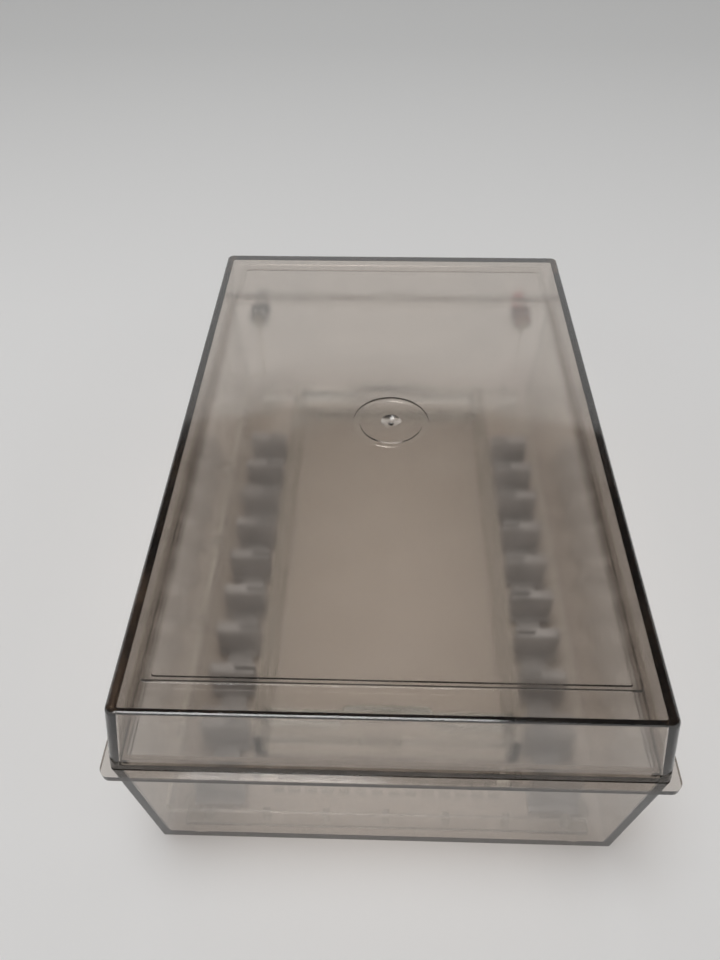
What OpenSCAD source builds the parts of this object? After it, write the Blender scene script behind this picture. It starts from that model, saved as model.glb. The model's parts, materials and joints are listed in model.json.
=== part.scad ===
// Horizontal gel electrophoresis tank. A tapered tub with a flange carries a
// flared lift-off lid. Inside stand a gel platform with its tray, gates and
// seals, two slotted comb racks, a comb and two platinum electrodes. A 4 mm
// socket sits near each end of the rear wall, under the flange.
//
// Millimetres. X is the width, Y runs from the front to the rear, Z is up. The
// feet stand on Z = 0, and the origin is the centre of the whole outline there.

/* [Case] */
// Width of the lid across its upper edge
lid_w = 200; // [196:1:206]
// Length of the lid along its upper edge
lid_l = 309.2; // [306:0.2:316]
// Height of the lid from its rim to its shoulder
lid_h = 33.3; // [33:0.1:38]
// How far each lid wall leans out towards the rim
lid_flare = 4.3; // [3.5:0.1:5]
// Wall thickness of the lid
lid_wall = 3.6; // [3:0.1:3.8]
// Height from the underside of the tub to the top of its flange
tub_h = 76; // [74:1:90]
// How far each tub wall leans in towards the floor
tub_taper = 5.3; // [5:0.1:6]
// Wall and floor thickness of the tub
tub_wall = 3.6; // [3.2:0.1:3.8]
// Width of the flange outside the tub wall
flange_w = 3.4; // [3:0.1:3.6]
// How far the flange stands out past the rim of the lid
flange_margin = 3.3; // [3.2:0.1:3.8]
// Thickness of the flange
flange_t = 3; // [2.5:0.1:4]
// Radius of the upright corners of the lid
corner_r = 3; // [3:0.5:6]
// Radius of the upright corners of the tub
tub_r = 1.5; // [1.5:0.5:3]

/* [Lid panel] */
// Flat margin left beside the raised panel
panel_side_margin = 10.3; // [9:0.1:12]
// Flat margin left before and behind the raised panel
panel_end_margin = 12.9; // [10:0.1:14]
// Height of the raised panel above the margin
panel_rise = 1.2; // [0.8:0.1:1.6]
// Outer diameter of the round groove in the middle of the panel
ring_d = 35.8; // [30:0.2:44]

/* [Gel bed] */
// Width of the gel platform
platform_w = 122; // [118:1:122]
// Length of the gel platform
platform_l = 244; // [220:1:244]
// Height of the platform above the tank floor
platform_h = 9; // [7:0.5:11]
// Height of the tray walls from the underside of the tray
tray_h = 20; // [16:1:22]

/* [Comb racks] */
// Number of comb stations along each rack
stations = 10; // [6:1:10]
// Distance from one station to the next
station_pitch = 23.6; // [20:0.2:23.6]
// Width of each rack
rack_w = 22; // [16:1:22]
// Height of the rack posts above the tank floor
post_h = 21; // [18:0.5:23]
// Thickness of each rack post along the tank
post_t = 5.2; // [5:0.1:6]
// Thickness of the comb
comb_t = 2; // [1.5:0.1:2.2]

/* [Sockets] */
// Distance between the two sockets
socket_spacing = 170; // [150:1:170]
// Bore of the contacts
plug_d = 4; // [4:0.1:4.2]

/* [Hidden] */
$fn = 48;

// Clearances between pieces
running = 0.05;     // radial, around studs and contacts
sliding = 0.2;      // each side of a piece that slides in a slot
bite = 1;           // overlap that makes a cut or a joint run past a face
film = 0.1;         // gap at soldered wires and between see-through pieces at rest
slab = 0.2;         // height of the straight land at each end of a flared block

// Levels, from the bench up
foot_h = 2;
floor_z = foot_h + tub_wall;
flange_z = foot_h + tub_h - flange_t;
rim_z = foot_h + tub_h;
lip_h = 3;
lip_gap = 0.5;
lip_t = 2.2;
platform_z = floor_z + platform_h;
pad_h = 0.4;
bed_z = platform_z + pad_h;

// Outlines, as [width, length]
lid_top = [lid_w, lid_l];
lid_rim = lid_top + 2 * lid_flare * [1, 1];
flange = lid_rim + 2 * flange_margin * [1, 1];
tub_top = flange - 2 * flange_w * [1, 1];
tub_bottom = tub_top - 2 * tub_taper * [1, 1];
lip = lid_rim - 2 * (lid_wall + lip_gap) * [1, 1];
mouth = lip - 2 * lip_t * [1, 1];

// Lid details
edge_r = 1.2;                   // rounding of the shoulder
panel = [lid_w - 2 * panel_side_margin, lid_l - 2 * panel_end_margin];
panel_slope = 0.3;              // width of the slope around the panel
panel_r = 1.2;
ring_w = 2.9;                   // width of the round groove
ring_depth = 0.8;
ring_draft = 0.15;              // lean of each side of the groove
dimple_d = 9.6;
dimple_depth = 1.8;
nub_d = 2.8;

// Feet
foot_d = 16;
foot_seat = 0.8;
foot_inset = 16;

// Sockets: distances along Y from the outer face of the boss
boss_d = 14;
boss_t = 8.4;
boss_stand = 2.6;               // outer face, past the edge of the tub wall
boss_out = tub_top[1] / 2 + boss_stand;
boss_in = boss_out - boss_t;
socket_z = flange_z - 9;
seal_t = 1;
sleeve_reach = 17.6;
contact_reach = 15.6;
contact_d = plug_d + 2;
bore_depth = 16.6;
contact_seat = -3;
nose_d = 8;
nut_t = 3.2;
tag_t = 0.8;
tag_y = boss_in - nut_t - sliding - tag_t;
stud_d = 3;
stud_l = 8.6;

// The sockets reach out behind the flange, so the tub sits in front of the origin
rear_reach = boss_out + sleeve_reach;
tub_y = (flange[1] / 2 - rear_reach) / 2;

// Racks: the first station is the one nearest the front wall
rack_inner_x = 63.6;
rack_x = rack_inner_x + rack_w / 2;
rail_h = 2.2;
rail_w = 12;
rail_end = 4.5;                 // rail past the first and the last post
first_post_y = -134.2;
rack_front = first_post_y - rail_end;
rack_l = (stations - 1) * station_pitch + post_t + 2 * rail_end;
slot_w = comb_t + 2 * sliding;
slot_reach = 10;
slot_floor_z = floor_z + 7;

// Tray and gates
tray_w = platform_w - 2;
tray_l = platform_l - 4;
tray_floor = 3;
tray_wall = 6;
tray_in = tray_w / 2 - tray_wall;
groove_depth = 2.6;
gate_t = 3;
gate_y = tray_l / 2 - 8;
seal_w = 2.1;
gate_half = tray_in + groove_depth - 0.3 - seal_w;
gate_z = bed_z + tray_floor + seal_w;
gate_tab_z = bed_z + tray_h + 5;

// Comb: the plate hangs in the first station
comb_y = first_post_y + post_t / 2;
comb_half = rack_inner_x + slot_reach - 1;
comb_tab_w = 8.5;
comb_top_z = floor_z + 26;
comb_low_z = comb_top_z - 15;
tooth_low_z = floor_z + 2;
teeth = 14;
tooth_w = 5;
tooth_pitch = 7.5;
bar_half = 58;
bar_t = 2.5;
bar_h = 7;
comb_screw_x = 50;
comb_screw_d = 3;

// Electrodes and their lead
holder_w = 6;
holder_h = 3;
holder_half = 88;
wire_d = 0.5;
wire_z = floor_z + 8;
wire_y = 144.5;
wire_x = holder_half - 1;
carrier_gap = 26;
riser_y = tag_y + tag_t / 2;
tag_tail = 8;
lead_d = 1.4;
lead_z = 20;
lead_x = -94.9;
clip_l = 5;

smoke = [0.42, 0.38, 0.35, 0.45];
clear_tint = [0.85, 0.88, 0.9, 0.4];
rack_grey = [0.2, 0.19, 0.19];
red = [0.75, 0.08, 0.06];
black = [0.05, 0.05, 0.05];
steel = [0.78, 0.78, 0.8];
nickel = [0.8, 0.77, 0.68];
rubber = [0.08, 0.08, 0.08];
nylon = [0.9, 0.9, 0.86];
silicone = [0.8, 0.8, 0.78, 0.7];

// ---- Shared shapes ----

// Moves a piece from the centre line of the tub to its place
module at_tub() {
    translate([0, tub_y, 0]) children();
}

// Flat rounded rectangle of size [width, length], centred
module rounded_rect(size, r) {
    square([size[0] - 2 * r, size[1]], center = true);
    square([size[0], size[1] - 2 * r], center = true);
    for (x = [-1, 1], y = [-1, 1])
        translate([x * (size[0] / 2 - r), y * (size[1] / 2 - r)]) circle(r = r, $fn = 32);
}

// Rounded block that changes evenly from one outline to the other
module flared_block(bottom, top, h, r) {
    hull() {
        linear_extrude(slab) rounded_rect(bottom, r);
        translate([0, 0, h - slab]) linear_extrude(slab) rounded_rect(top, r);
    }
}

// Box between two opposite corners
module box(low, high) {
    translate(low) cube(high - low);
}

// Turns a shape drawn along Z so that it runs along Y from the given point
module along_y(x, y, z) {
    translate([x, y, z]) rotate([-90, 0, 0]) children();
}

// Round wire through a list of points, with ball corners
module wire(points, d) {
    for (i = [0 : len(points) - 2]) {
        step = points[i + 1] - points[i];
        translate(points[i])
            rotate([0, acos(step[2] / norm(step)), atan2(step[1], step[0])])
                cylinder(h = norm(step), d = d, $fn = 24);
    }
    for (i = [1 : 1 : len(points) - 2])
        translate(points[i]) sphere(d = d, $fn = 24);
}

// Flat shape drawn in X and Z, made thickness t from y towards the rear
module upright(y, t) {
    translate([0, y + t, 0]) rotate([90, 0, 0]) linear_extrude(t) children();
}

// Hexagon nut of the given width across flats, standing along Z
module hex_nut(across, h, hole) {
    difference() {
        cylinder(h = h, d = across / cos(30), $fn = 6);
        translate([0, 0, -bite]) cylinder(h = h + 2 * bite, d = hole);
    }
}

// ---- Case ----

// Half of the tub's outer size at a height, on one axis (0 is X, 1 is Y)
function tub_half(z, axis) = tub_bottom[axis] / 2 + tub_taper * (z - foot_h) / tub_h;

// Space inside the tub, with a narrower mouth where it passes the flange and lip
module tub_cavity() {
    low = 2 * [tub_half(floor_z, 0), tub_half(floor_z, 1)] - 2 * tub_wall * [1, 1];
    high = 2 * [tub_half(flange_z, 0), tub_half(flange_z, 1)] - 2 * tub_wall * [1, 1];
    translate([0, 0, floor_z]) flared_block(low, high, flange_z - floor_z, tub_r - 0.5);
    translate([0, 0, flange_z - slab])
        linear_extrude(rim_z + lip_h - flange_z + bite) rounded_rect(mouth, corner_r - 2);
}

// Low ribs on the floor that hold one rack in place
module rack_ribs() {
    rib_t = 1.5;
    rib_h = 1.2;
    rib_l = 24;
    rib_from_end = 20;
    fit = rack_w / 2 + sliding;
    rear_rib_y = rack_front + rack_l - rib_from_end - rib_l;
    for (y = [rack_front + rib_from_end, rear_rib_y], x = [fit, -fit - rib_t])
        translate([rack_x + x, y, floor_z - slab]) cube([rib_t, rib_l, rib_h + slab]);
    for (y = [rack_front - sliding - rib_t, rack_front + rack_l + sliding])
        translate([rack_x - rail_w / 2, y, floor_z - slab]) cube([rail_w, rib_t, rib_h + slab]);
}

// Copies a foot, or the seat for it, to the four corners of the underside
module foot_places() {
    x_out = tub_bottom[0] / 2 - foot_inset;
    y_out = tub_bottom[1] / 2 - foot_inset;
    for (x = [-x_out, x_out], y = [-y_out, y_out])
        translate([x, y, 0]) children();
}

module tank_base() {
    color(smoke) at_tub() difference() {
        union() {
            difference() {
                union() {
                    translate([0, 0, foot_h])
                        flared_block(tub_bottom, tub_top, rim_z - foot_h, tub_r);
                    translate([0, 0, flange_z])
                        linear_extrude(flange_t) rounded_rect(flange, corner_r + 1);
                    translate([0, 0, rim_z - slab])
                        linear_extrude(lip_h + slab) rounded_rect(lip, corner_r - 1);
                }
                tub_cavity();
            }
            for (x = [-1, 1])
                along_y(x * socket_spacing / 2, boss_in, socket_z)
                    cylinder(h = boss_t, d = boss_d);
            for (side = [0, 1]) mirror([side, 0, 0]) rack_ribs();
        }
        for (x = [-1, 1])
            along_y(x * socket_spacing / 2, boss_in - bite, socket_z)
                cylinder(h = boss_t + 2 * bite, d = nose_d + 2 * running);
        foot_places() cylinder(h = foot_h + foot_seat + film, d = foot_d + 2 * sliding);
    }
}

// Outside of the lid: flared walls with a rounded shoulder
module lid_outside() {
    hull() {
        linear_extrude(slab) rounded_rect(lid_rim, corner_r);
        for (angle = [0 : 30 : 90])
            translate([0, 0, lid_h - edge_r + edge_r * sin(angle) - slab])
                linear_extrude(slab)
                    rounded_rect(lid_top - 2 * edge_r * (1 - cos(angle)) * [1, 1], corner_r);
    }
}

// Raised panel, or the matching hollow below it when made smaller by 2 * inset
module lid_panel(inset, bottom_z, h) {
    size = panel - 2 * inset * [1, 1];
    translate([0, 0, bottom_z])
        flared_block(size, size - 2 * panel_slope * [1, 1], h, panel_r);
}

// Round groove with slightly leaning sides, cut down from Z = 0
module ring_cut() {
    outer = ring_d / 2;
    inner = outer - ring_w;
    rotate_extrude($fn = 96)
        polygon([
            [inner - ring_draft, 0], [inner - ring_draft, bite],
            [outer + ring_draft, bite], [outer + ring_draft, 0],
            [outer, -ring_depth], [inner, -ring_depth]
        ]);
}

// Shallow round dish in the middle of the ring, cut down from Z = 0
module dimple_cut() {
    dish_r = (pow(dimple_d / 2, 2) + pow(dimple_depth, 2)) / (2 * dimple_depth);
    translate([0, 0, dish_r - dimple_depth]) sphere(r = dish_r, $fn = 96);
}

// Domed stub left in the dish where the plastic was fed in
module feed_nub() {
    cylinder(h = dimple_depth - nub_d / 4, d = nub_d);
    translate([0, 0, dimple_depth - nub_d / 4])
        intersection() {
            translate([0, 0, -nub_d * 3 / 8]) sphere(d = nub_d * 5 / 4);
            cylinder(h = nub_d, d = nub_d);
        }
}

module lid() {
    top_z = lid_h + panel_rise;
    inside = lid_h - lid_wall;
    step_in = 3;
    color(smoke) at_tub() translate([0, 0, rim_z]) {
        difference() {
            union() {
                lid_outside();
                lid_panel(0, lid_h - slab, panel_rise + slab);
            }
            translate([0, 0, -slab])
                flared_block(lid_rim - 2 * lid_wall * [1, 1],
                    lid_top - 2 * lid_wall * [1, 1], inside + slab, corner_r - 2);
            lid_panel(step_in, inside - slab, panel_rise + slab);
            translate([0, 0, top_z]) ring_cut();
            translate([0, 0, top_z]) dimple_cut();
        }
        translate([0, 0, top_z - dimple_depth - slab]) feed_nub();
    }
}

module rubber_feet() {
    round_r = 1;
    color(silicone) at_tub() foot_places()
        rotate_extrude() {
            square([foot_d / 2 - round_r, foot_h + foot_seat]);
            translate([0, round_r]) square([foot_d / 2, foot_h + foot_seat - round_r]);
            translate([foot_d / 2 - round_r, round_r]) circle(r = round_r);
        }
}

// ---- Gel bed ----

// Hollow deck, with four low pads for the tray and a stop across each end
module gel_platform() {
    skin = 2.5;
    stop_h = 1.5;
    stop_t = (platform_l - tray_l) / 2 - 0.3;
    stop_inset = 6;
    pad_d = 8;
    pad_inset = 14;
    color(smoke) at_tub() {
        difference() {
            translate([0, 0, floor_z + film])
                linear_extrude(platform_h - film) rounded_rect([platform_w, platform_l], 3);
            translate([0, 0, floor_z - bite])
                linear_extrude(platform_h - skin + bite)
                    rounded_rect([platform_w, platform_l] - 2 * skin * [1, 1], 1);
        }
        for (x = [-1, 1], y = [-1, 1])
            translate([
                x * (platform_w / 2 - pad_inset), y * (platform_l / 2 - pad_inset), platform_z - slab
            ]) cylinder(h = pad_h - film + slab, d = pad_d);
        for (side = [0, 1]) mirror([0, side, 0])
            translate([-platform_w / 2 + stop_inset, platform_l / 2 - stop_t, platform_z - slab])
                cube([platform_w - 2 * stop_inset, stop_t, stop_h + slab]);
    }
}

// Tray with open ends and a pair of upright grooves for the gate near each end
module gel_tray() {
    groove = gate_t + 2 * sliding;
    color(clear_tint) at_tub() difference() {
        translate([0, 0, bed_z]) linear_extrude(tray_h) rounded_rect([tray_w, tray_l], 2);
        box([-tray_in, -tray_l, bed_z + tray_floor], [tray_in, tray_l, bed_z + 2 * tray_h]);
        for (side = [0, 1]) mirror([0, side, 0])
            box([-tray_in - groove_depth, gate_y - groove / 2, bed_z + tray_floor],
                [tray_in + groove_depth, gate_y + groove / 2, bed_z + 2 * tray_h]);
    }
}

// Gate plate with a finger tab, standing across the tray at Y = 0
module gate_plate() {
    tab_half = 20;
    tab_r = 3;
    upright(-gate_t / 2, gate_t) {
        translate([-gate_half, gate_z]) square([2 * gate_half, bed_z + tray_h - gate_z]);
        translate([-tab_half, gate_z]) square([2 * tab_half, gate_tab_z - tab_r - gate_z]);
        translate([-tab_half + tab_r, gate_z])
            square([2 * (tab_half - tab_r), gate_tab_z - gate_z]);
        for (x = [-1, 1])
            translate([x * (tab_half - tab_r), gate_tab_z - tab_r]) circle(r = tab_r);
    }
}

// U-shaped rubber strip around the sides and foot of a gate, at Y = 0
module gate_seal() {
    low_z = gate_z - seal_w;
    high_z = bed_z + tray_h - 1;
    side = gate_half + seal_w;
    difference() {
        box([-side, -gate_t / 2, low_z], [side, gate_t / 2, high_z]);
        box([-gate_half, -gate_t, gate_z], [gate_half, gate_t, high_z + bite]);
    }
}

module front_gate() {
    color(clear_tint) at_tub() translate([0, -gate_y, 0]) gate_plate();
}

module rear_gate() {
    color(clear_tint) at_tub() translate([0, gate_y, 0]) gate_plate();
}

module front_gate_seal() {
    color(silicone) at_tub() translate([0, -gate_y, 0]) gate_seal();
}

module rear_gate_seal() {
    color(silicone) at_tub() translate([0, gate_y, 0]) gate_seal();
}

// ---- Comb racks ----

// One slotted post with rounded top corners, its front face at Y = 0
module rack_post() {
    top_r = 1.5;
    foot_out = 1.2;
    foot_top = rail_h + 1.4;
    difference() {
        union() {
            upright(0, post_t) {
                translate([-rack_w / 2, 0]) square([rack_w, post_h - top_r]);
                translate([-rack_w / 2 + top_r, 0]) square([rack_w - 2 * top_r, post_h]);
                for (x = [-1, 1])
                    translate([x * (rack_w / 2 - top_r), post_h - top_r]) circle(r = top_r);
            }
            box([-rack_w / 2, -foot_out, 0], [rack_w / 2, post_t + foot_out, foot_top]);
        }
        translate([-rack_w / 2 - bite, (post_t - slot_w) / 2, slot_floor_z - floor_z])
            cube([slot_reach + bite, slot_w, post_h]);
    }
}

// Rack on the right of the tank, with its slots open towards the gel bed
module rack() {
    bar_w = 3;
    translate([rack_x, 0, floor_z]) {
        translate([-rail_w / 2, rack_front, 0]) cube([rail_w, rack_l, rail_h]);
        for (end_y = [rack_front, rack_front + rack_l - bar_w])
            translate([-rack_w / 2, end_y, 0]) cube([rack_w, bar_w, rail_h]);
        for (i = [0 : stations - 1])
            translate([0, first_post_y + i * station_pitch, 0]) rack_post();
    }
}

module right_comb_rack() {
    color(rack_grey) at_tub() rack();
}

module left_comb_rack() {
    color(rack_grey) at_tub() mirror([1, 0, 0]) rack();
}

// ---- Comb ----

module comb_screw_holes() {
    reach = bar_t + comb_t;
    for (x = [-1, 1])
        along_y(x * comb_screw_x, comb_y - reach, comb_top_z - bar_h / 2)
            cylinder(h = 2 * reach, d = comb_screw_d + 2 * running);
}

// Plate with a tab at each end that stands in its slot, and teeth between them
module comb() {
    front = comb_y - comb_t / 2;
    rear = comb_y + comb_t / 2;
    color(clear_tint) at_tub() difference() {
        union() {
            box([-comb_half, front, comb_low_z], [comb_half, rear, comb_top_z]);
            for (side = [0, 1]) mirror([side, 0, 0])
                box([comb_half - comb_tab_w, front, slot_floor_z],
                    [comb_half, rear, comb_low_z + bite]);
            for (i = [0 : teeth - 1])
                translate([(i - (teeth - 1) / 2) * tooth_pitch - tooth_w / 2, front, tooth_low_z])
                    cube([tooth_w, comb_t, comb_low_z - tooth_low_z + bite]);
        }
        comb_screw_holes();
    }
}

module comb_bar() {
    front = comb_y - comb_t / 2 - film - bar_t;
    color(clear_tint) at_tub() difference() {
        box([-bar_half, front, comb_top_z - bar_h], [bar_half, front + bar_t, comb_top_z]);
        comb_screw_holes();
    }
}

// Slotted pan-head screws through the bar and the comb
module comb_screws() {
    head_d = 5.4;
    head_h = 1.6;
    slot = 0.8;
    head_y = comb_y - comb_t / 2 - film - bar_t;
    color(nylon) at_tub() for (x = [-1, 1])
        along_y(x * comb_screw_x, head_y, comb_top_z - bar_h / 2) {
            cylinder(h = bar_t + film + comb_t, d = comb_screw_d);
            difference() {
                translate([0, 0, -head_h]) cylinder(h = head_h, d = head_d);
                translate([-head_d, -slot / 2, -head_h - bite])
                    cube([2 * head_d, slot, slot + bite]);
            }
        }
}

// ---- Electrodes ----

// Strip with small carriers that hold the wire clear of the floor, at +Y
module electrode_holder() {
    carrier = 3;
    carrier_top = wire_z + 2;
    difference() {
        union() {
            box([-holder_half, wire_y - holder_w / 2, floor_z + film],
                [holder_half, wire_y + holder_w / 2, floor_z + holder_h]);
            for (i = [-3 : 3])
                box([i * carrier_gap - carrier / 2, wire_y - carrier / 2, floor_z + film],
                    [i * carrier_gap + carrier / 2, wire_y + carrier / 2, carrier_top]);
        }
        translate([-holder_half - bite, wire_y, wire_z]) rotate([0, 90, 0])
            cylinder(h = 2 * (holder_half + bite), d = wire_d + 0.3);
    }
}

module rear_electrode_holder() {
    color(clear_tint) at_tub() electrode_holder();
}

module front_electrode_holder() {
    color(clear_tint) at_tub() mirror([0, 1, 0]) electrode_holder();
}

module cathode_wire() {
    color(steel) at_tub() wire([[-wire_x, -wire_y, wire_z], [wire_x, -wire_y, wire_z]], wire_d);
}

// The rear wire has a riser to the red contact, which starts a hair above it
module anode_wire() {
    x = socket_spacing / 2;
    start_z = wire_z + wire_d;
    bend_z = wire_z + 5;
    top_z = socket_z - tag_tail - film;
    color(steel) at_tub() {
        wire([[-wire_x, wire_y, wire_z], [wire_x, wire_y, wire_z]], wire_d);
        wire([
            [x, wire_y, start_z], [x, wire_y, bend_z],
            [x, riser_y, bend_z], [x, riser_y, top_z]
        ], wire_d);
    }
}

// Insulated lead from the black contact round the left wall to the front wire
module cathode_lead() {
    x = -socket_spacing / 2;
    color(clear_tint) at_tub() wire([
        [x, riser_y, socket_z - tag_tail - film],
        [x, riser_y, lead_z],
        [lead_x, riser_y, lead_z],
        [lead_x, -wire_y, lead_z],
        [lead_x, -wire_y, wire_z],
        [-wire_x - film, -wire_y, wire_z]
    ], lead_d);
}

// One clip, with its lead hole along Y and its back towards -X
module lead_clip() {
    clip_h = 5;
    back = 1.3;
    front = 2;
    difference() {
        box([-back, -clip_l / 2, -clip_h / 2], [front, clip_l / 2, clip_h / 2]);
        along_y(0, -clip_l, 0) cylinder(h = 2 * clip_l, d = lead_d + 0.3);
    }
}

module lead_clips() {
    color(clear_tint) at_tub() for (y = [-110 : 55 : 110])
        translate([lead_x, y, lead_z]) lead_clip();
}

// ---- Sockets ----

// Moves a piece drawn along Z to a socket's axis, with Z = 0 on the face of the boss
module at_socket(side) {
    at_tub() along_y(side * socket_spacing / 2, boss_out, socket_z) children();
}

// Insulating sleeve: collar and barrel outside, threaded nose through the boss
module socket_sleeve() {
    collar_d = 12;
    collar_t = 2;
    barrel_d = 9.6;
    room = contact_d + 2 * running;
    lead_in = 1;
    inner_end = -boss_t - nut_t + sliding;
    difference() {
        union() {
            translate([0, 0, seal_t]) cylinder(h = collar_t, d = collar_d);
            translate([0, 0, seal_t]) cylinder(h = sleeve_reach - seal_t, d = barrel_d);
            translate([0, 0, inner_end]) cylinder(h = seal_t + bite - inner_end, d = nose_d);
        }
        translate([0, 0, contact_seat - film])
            cylinder(h = sleeve_reach + bite - contact_seat, d = room);
        translate([0, 0, inner_end - bite])
            cylinder(h = bite - inner_end, d = stud_d + 2 * running);
        translate([0, 0, sleeve_reach - lead_in])
            cylinder(h = lead_in + bite, d1 = room, d2 = room + 2 * (lead_in + bite));
    }
}

// Turned contact: a bored barrel with a stud behind it
module socket_contact() {
    difference() {
        union() {
            translate([0, 0, contact_seat]) cylinder(h = contact_reach - contact_seat, d = contact_d);
            translate([0, 0, -boss_t - stud_l]) cylinder(h = boss_t + stud_l, d = stud_d);
        }
        translate([0, 0, contact_reach - bore_depth])
            cylinder(h = bore_depth + bite, d = plug_d);
    }
}

module red_socket() {
    color(red) at_socket(1) socket_sleeve();
}

module black_socket() {
    color(black) at_socket(-1) socket_sleeve();
}

module red_contact() {
    color(nickel) at_socket(1) socket_contact();
}

module black_contact() {
    color(nickel) at_socket(-1) socket_contact();
}

module socket_seals() {
    seal_d = 11.6;
    color(rubber) for (side = [-1, 1]) at_socket(side)
        difference() {
            cylinder(h = seal_t, d = seal_d);
            translate([0, 0, -bite]) cylinder(h = seal_t + 2 * bite, d = nose_d + 2 * sliding);
        }
}

module socket_nuts() {
    across = 11;
    color(clear_tint) for (side = [-1, 1]) at_socket(side)
        translate([0, 0, -boss_t - film - nut_t]) hex_nut(across, nut_t, nose_d + 2 * running);
}

// Ring tags: a ring on the stud and a tail that points down to the wire
module wire_tags() {
    ring = stud_d + 3.4;
    tail_w = 2;
    hole = stud_d + 2 * running;
    color(steel) for (side = [-1, 1]) at_tub()
        translate([side * socket_spacing / 2, tag_y, socket_z])
            difference() {
                union() {
                    along_y(0, 0, 0) cylinder(h = tag_t, d = ring);
                    box([-tail_w / 2, 0, -tag_tail], [tail_w / 2, tag_t, 0]);
                }
                along_y(0, -bite, 0) cylinder(h = tag_t + 2 * bite, d = hole);
            }
}

module stud_nuts() {
    across = 5.5;
    color(steel) for (side = [-1, 1]) at_tub()
        along_y(side * socket_spacing / 2, tag_y - nut_t, socket_z)
            hex_nut(across, nut_t, stud_d + 2 * running);
}

tank_base();
lid();
gel_platform();
left_comb_rack();
right_comb_rack();
gel_tray();
front_gate();
rear_gate();
front_gate_seal();
rear_gate_seal();
comb();
comb_bar();
comb_screws();
front_electrode_holder();
rear_electrode_holder();
cathode_wire();
anode_wire();
cathode_lead();
lead_clips();
red_socket();
black_socket();
red_contact();
black_contact();
socket_seals();
socket_nuts();
wire_tags();
stud_nuts();
rubber_feet();
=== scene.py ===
"""Looks of a horizontal gel electrophoresis tank: smoked see-through case, clear gel
bed, dark comb racks, metal contacts, and the studio around them. Metres throughout.
"""

import json
import math

import bpy
from mathutils import Matrix, Vector


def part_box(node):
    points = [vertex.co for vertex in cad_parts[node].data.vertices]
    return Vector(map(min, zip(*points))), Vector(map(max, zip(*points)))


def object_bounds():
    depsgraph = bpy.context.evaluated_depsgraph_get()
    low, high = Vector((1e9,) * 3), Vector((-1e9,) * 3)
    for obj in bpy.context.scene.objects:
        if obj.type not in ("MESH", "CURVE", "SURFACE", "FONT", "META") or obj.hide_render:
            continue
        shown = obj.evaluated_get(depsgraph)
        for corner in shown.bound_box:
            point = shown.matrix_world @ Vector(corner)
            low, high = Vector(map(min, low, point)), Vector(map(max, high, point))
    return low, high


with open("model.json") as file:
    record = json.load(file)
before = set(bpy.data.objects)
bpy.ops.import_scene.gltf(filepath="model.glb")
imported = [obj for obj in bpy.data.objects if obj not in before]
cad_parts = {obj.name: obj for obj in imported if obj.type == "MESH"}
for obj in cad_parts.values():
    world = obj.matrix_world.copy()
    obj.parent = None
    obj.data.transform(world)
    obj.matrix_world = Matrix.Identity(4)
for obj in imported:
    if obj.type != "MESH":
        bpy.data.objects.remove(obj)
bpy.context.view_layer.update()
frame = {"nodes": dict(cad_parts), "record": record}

NODES = frame["nodes"]
SLOT_OF = {part["node"]: part["material_slot"] for part in frame["record"]["subparts"]}


# ---- Node helpers ----

def new_material(name):
    """A material with its node tree and its Principled shader."""
    material = bpy.data.materials.new(name)
    material.use_nodes = True
    tree = material.node_tree
    return material, tree, tree.nodes["Principled BSDF"]


def add(tree, kind, **settings):
    """A node with its own settings, such as noise_dimensions, set by name."""
    node = tree.nodes.new("ShaderNode" + kind)
    for name, value in settings.items():
        setattr(node, name, value)
    return node


def place(tree, scale=(1, 1, 1)):
    """Object coordinates in metres, stretched by scale."""
    coordinates = add(tree, "TexCoord")
    mapping = add(tree, "Mapping")
    mapping.inputs["Scale"].default_value = scale
    tree.links.new(coordinates.outputs["Object"], mapping.inputs["Vector"])
    return mapping.outputs["Vector"]


def noise(tree, per_metre, detail=3.0, stretch=(1, 1, 1)):
    """Noise with that many cells to the metre."""
    texture = add(tree, "TexNoise")
    texture.inputs["Scale"].default_value = per_metre
    texture.inputs["Detail"].default_value = detail
    tree.links.new(place(tree, stretch), texture.inputs["Vector"])
    return texture.outputs["Fac"]


def remap(tree, value, low, high, start=0.35, end=0.65):
    """A value between start and end becomes one between low and high."""
    node = add(tree, "MapRange")
    node.inputs["From Min"].default_value = start
    node.inputs["From Max"].default_value = end
    node.inputs["To Min"].default_value = low
    node.inputs["To Max"].default_value = high
    tree.links.new(value, node.inputs["Value"])
    return node.outputs["Result"]


def blend_colours(tree, share, first, second):
    """A colour that goes from first to second as share goes from 0 to 1."""
    node = add(tree, "MixRGB")
    node.inputs["Color1"].default_value = (*first, 1)
    node.inputs["Color2"].default_value = (*second, 1)
    tree.links.new(share, node.inputs["Fac"])
    return node.outputs["Color"]


def bump(tree, height, depth, below=None):
    """A normal bent by a height between 0 and 1 that stands for depth metres."""
    node = add(tree, "Bump")
    node.inputs["Distance"].default_value = depth
    tree.links.new(height, node.inputs["Height"])
    if below is not None:
        tree.links.new(below, node.inputs["Normal"])
    return node.outputs["Normal"]


def scratches(tree, per_metre, stretch):
    """Sparse fine hairlines, 1 on a line and 0 elsewhere."""
    return remap(tree, noise(tree, per_metre, 2.0, stretch), 0, 1, 0.66, 0.72)


# ---- Materials ----

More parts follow.
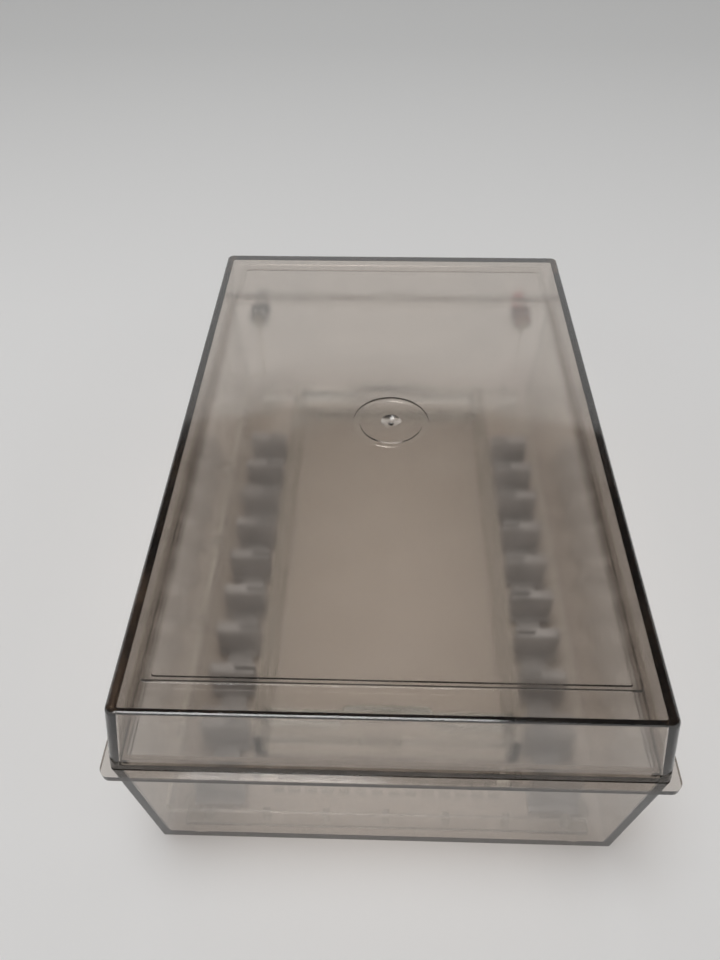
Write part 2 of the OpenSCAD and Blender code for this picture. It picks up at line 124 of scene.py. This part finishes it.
def see_through(name, colour, roughness, absorbed, ior=1.49, gloss=0.0):
    """Moulded see-through plastic. absorbed is what a metre of it takes, per colour."""
    material, tree, shader = new_material(name)
    cloud = noise(tree, 14)
    paler = [min(c * 1.03, 1) for c in colour]
    tree.links.new(blend_colours(tree, cloud, colour, paler), shader.inputs["Base Color"])
    shader.inputs["Transmission Weight"].default_value = 1
    shader.inputs["IOR"].default_value = ior
    shader.inputs["Coat Weight"].default_value = gloss
    shader.inputs["Coat Roughness"].default_value = 0.02
    smudge = remap(tree, noise(tree, 45, 4), roughness * 0.75, roughness * 1.35)
    tree.links.new(smudge, shader.inputs["Roughness"])
    ripple = bump(tree, noise(tree, 25, 1), 0.0002)
    hairline = bump(tree, scratches(tree, 260, (1, 0.06, 1)), 0.000003, ripple)
    tree.links.new(hairline, shader.inputs["Normal"])

    # Lamp rays pass through to what stands behind the plastic, and lose a little on the way
    passed = (0.992, 0.988, 0.984)
    path = add(tree, "LightPath")
    open_shader = add(tree, "BsdfTransparent")
    open_shader.inputs["Color"].default_value = (*passed, 1)
    is_lamp_ray = add(tree, "Math", operation="MAXIMUM")
    tree.links.new(path.outputs["Is Shadow Ray"], is_lamp_ray.inputs[0])
    tree.links.new(path.outputs["Is Diffuse Ray"], is_lamp_ray.inputs[1])
    mix = add(tree, "MixShader")
    tree.links.new(is_lamp_ray.outputs[0], mix.inputs["Fac"])
    tree.links.new(shader.outputs["BSDF"], mix.inputs[1])
    tree.links.new(open_shader.outputs["BSDF"], mix.inputs[2])
    output = tree.nodes["Material Output"]
    tree.links.new(mix.outputs["Shader"], output.inputs["Surface"])
    if max(absorbed) > 0:
        # A volume takes density * (1 - colour) per metre
        share_of_most = 0.9
        density = max(absorbed) / share_of_most
        volume = add(tree, "VolumeAbsorption")
        volume.inputs["Density"].default_value = density
        volume.inputs["Color"].default_value = (*[1 - a / density for a in absorbed], 1)
        tree.links.new(volume.outputs["Volume"], output.inputs["Volume"])
    return material


def solid(name, colour, roughness, grain_per_metre, grain_depth, spread=0.12):
    """Opaque moulded plastic or rubber with a fine grain and uneven shine."""
    material, tree, shader = new_material(name)
    darker = [c * (1 - spread) for c in colour]
    paler = [min(c * (1 + spread), 1) for c in colour]
    tone = remap(tree, noise(tree, 60, 4), 0, 1)
    tree.links.new(blend_colours(tree, tone, darker, paler), shader.inputs["Base Color"])
    shine = remap(tree, noise(tree, 180, 4), roughness * 0.8, roughness * 1.25)
    tree.links.new(shine, shader.inputs["Roughness"])
    grain = bump(tree, noise(tree, grain_per_metre, 2), grain_depth)
    tree.links.new(grain, shader.inputs["Normal"])
    return material


def metal(name, colour, roughness, stretch):
    """Plated or drawn metal with fine turning marks along stretch."""
    material, tree, shader = new_material(name)
    tone = remap(tree, noise(tree, 300, 4), 0, 1)
    dull = [c * 0.82 for c in colour]
    tree.links.new(blend_colours(tree, tone, dull, colour), shader.inputs["Base Color"])
    shader.inputs["Metallic"].default_value = 1.0
    marks = noise(tree, 1500, 2, stretch)
    tree.links.new(remap(tree, marks, roughness * 0.7, roughness * 1.4), shader.inputs["Roughness"])
    tree.links.new(bump(tree, marks, 0.00001), shader.inputs["Normal"])
    return material


def make_materials():
    """Every material slot of the record, by its name."""
    smoke = (0.90, 0.88, 0.855)
    smoke_absorbs = (46, 54, 61)
    return {
        "case_smoke": see_through("case_smoke", smoke, 0.06, smoke_absorbs, 1.53, 0.3),
        "lid_smoke": see_through("lid_smoke", smoke, 0.11, smoke_absorbs, 1.53, 0.6),
        "platform_smoke": see_through("platform_smoke", (0.985, 0.98, 0.975), 0.08, (3, 4, 5)),
        "clear_acrylic": see_through("clear_acrylic", (0.98, 0.985, 0.985), 0.03, (3, 2, 2)),
        "rack_grey": solid("rack_grey", (0.33, 0.32, 0.315), 0.42, 2500, 0.00003),
        "seal_rubber": solid("seal_rubber", (0.03, 0.03, 0.032), 0.6, 4000, 0.00004),
        "clear_silicone": see_through("clear_silicone", (0.9, 0.9, 0.88), 0.3, (60, 60, 66), 1.41),
        "foot_silicone": see_through("foot_silicone", (0.88, 0.88, 0.86), 0.4, (60, 60, 66), 1.41),
        "white_nylon": solid("white_nylon", (0.72, 0.71, 0.66), 0.4, 3500, 0.00001, 0.04),
        "lead_sleeve": solid("lead_sleeve", (0.62, 0.6, 0.55), 0.3, 2500, 0.00001, 0.05),
        "red_plastic": see_through("red_plastic", (0.8, 0.16, 0.13), 0.2, (20, 200, 200)),
        "black_plastic": see_through("black_plastic", (0.55, 0.54, 0.53), 0.2, (90, 90, 90)),
        "nickel_plate": metal("nickel_plate", (0.78, 0.74, 0.66), 0.22, (1, 0.1, 1)),
        "platinum": metal("platinum", (0.74, 0.73, 0.71), 0.25, (0.1, 1, 1)),
    }


def dress():
    """Gives each CAD node the material of its slot."""
    materials = make_materials()
    for name, piece in NODES.items():
        piece.data.materials.clear()
        piece.data.materials.append(materials[SLOT_OF[name]])


# ---- Studio ----

def make_paper():
    """White paper with a painted shade in its colour, darker towards the back behind the tank."""
    paper, tree, shader = new_material("floor_paper")
    # The second tone is painted shade: the paper's colour darkens along Y behind the tank in place
    # of a real shadow
    near, painted_shade_tone = (0.83, 0.825, 0.82), (0.69, 0.69, 0.685)
    shade_starts, shade_ends = 0.25, 0.9
    split = add(tree, "SeparateXYZ")
    tree.links.new(place(tree), split.inputs["Vector"])
    shade = remap(tree, split.outputs["Y"], 0, 1, shade_starts, shade_ends)
    colour = blend_colours(tree, shade, near, painted_shade_tone)
    tree.links.new(colour, shader.inputs["Base Color"])
    shader.inputs["Roughness"].default_value = 0.7
    tree.links.new(bump(tree, noise(tree, 400, 2), 0.00002), shader.inputs["Normal"])
    return paper


def make_floor():
    """A wide pale floor under the feet."""
    half = 5.0
    mesh = bpy.data.meshes.new("floor")
    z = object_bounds()[0][2]
    corners = [(-half, -half, z), (half, -half, z), (half, half, z), (-half, half, z)]
    mesh.from_pydata(corners, [], [(0, 1, 2, 3)])
    floor = bpy.data.objects.new("floor", mesh)
    bpy.context.scene.collection.objects.link(floor)
    mesh.materials.append(make_paper())


def make_world():
    """Light walls up to 40 degrees above the horizon, and a dark ceiling."""
    wall_light, ceiling = (0.95, 0.95, 0.945), (0.06, 0.06, 0.062)
    wall_top = math.sin(math.radians(40))
    blur = 0.003
    world = bpy.data.worlds.new("studio")
    bpy.context.scene.world = world
    world.use_nodes = True
    tree = world.node_tree
    coordinates = add(tree, "TexCoord")
    split = add(tree, "SeparateXYZ")
    tree.links.new(coordinates.outputs["Generated"], split.inputs["Vector"])
    above = remap(tree, split.outputs["Z"], 0, 1, wall_top - blur, wall_top + blur)
    colour = blend_colours(tree, above, wall_light, ceiling)
    tree.links.new(colour, tree.nodes["Background"].inputs["Color"])


def make_lamp(name, size, power, place_at, aim):
    """A soft lamp of size (width, length) at a place, turned towards a point."""
    lamp = bpy.data.lights.new(name, "AREA")
    lamp.shape = "RECTANGLE"
    lamp.size, lamp.size_y = size
    lamp.energy = power
    holder = bpy.data.objects.new(name, lamp)
    holder.location = place_at
    holder.rotation_euler = (Vector(aim) - Vector(place_at)).to_track_quat("-Z", "Y").to_euler()
    holder.visible_camera = False
    bpy.context.scene.collection.objects.link(holder)
    return holder


def make_fill():
    """A weak unseen lamp over the gel bed, in place of light bounced about in the case."""
    size, power = (0.17, 0.24), 0.12
    low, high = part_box("gel_platform")
    middle = (low + high) / 2
    rim_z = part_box("lid")[0].z
    fill = make_lamp("fill", size, power, (middle.x, middle.y, rim_z), (middle.x, middle.y, 0))
    fill.visible_glossy = False
    fill.visible_transmission = False


def make_camera():
    """The camera stands in front of the lid and looks down on it."""
    yaw, looks_down, roll = 2.037, 45.295, -0.551
    left_of_middle, in_front, above = 0.0047, 0.1329, 0.2548
    low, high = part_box("lid")
    middle = (low + high) / 2
    data = bpy.data.cameras.new("camera")
    data.sensor_width = 36
    data.lens = 30.36
    camera = bpy.data.objects.new("camera", data)
    at = Vector((middle.x - left_of_middle, low.y - in_front, high.z + above))
    turned = Matrix.Rotation(math.radians(yaw), 4, "Z")
    tilted = Matrix.Rotation(math.radians(90 - looks_down), 4, "X")
    rolled = Matrix.Rotation(math.radians(roll), 4, "Z")
    camera.matrix_world = Matrix.Translation(at) @ turned @ tilted @ rolled
    bpy.context.scene.collection.objects.link(camera)
    bpy.context.scene.camera = camera


def make_studio():
    """Floor, sky, lamps and camera, with enough bounces for all the clear walls."""
    lamp_size, lamp_power, lamp_at = (0.7, 0.7), 10.5, (-0.2, -0.15, 1.7)
    make_floor()
    make_world()
    make_fill()
    make_lamp("overhead", lamp_size, lamp_power, lamp_at, (0, 0, 0))
    make_camera()
    scene = bpy.context.scene
    scene.view_settings.view_transform = "Standard"
    scene.cycles.max_bounces = 24
    scene.cycles.transmission_bounces = 24
    scene.cycles.transparent_max_bounces = 32


dress()
make_studio()
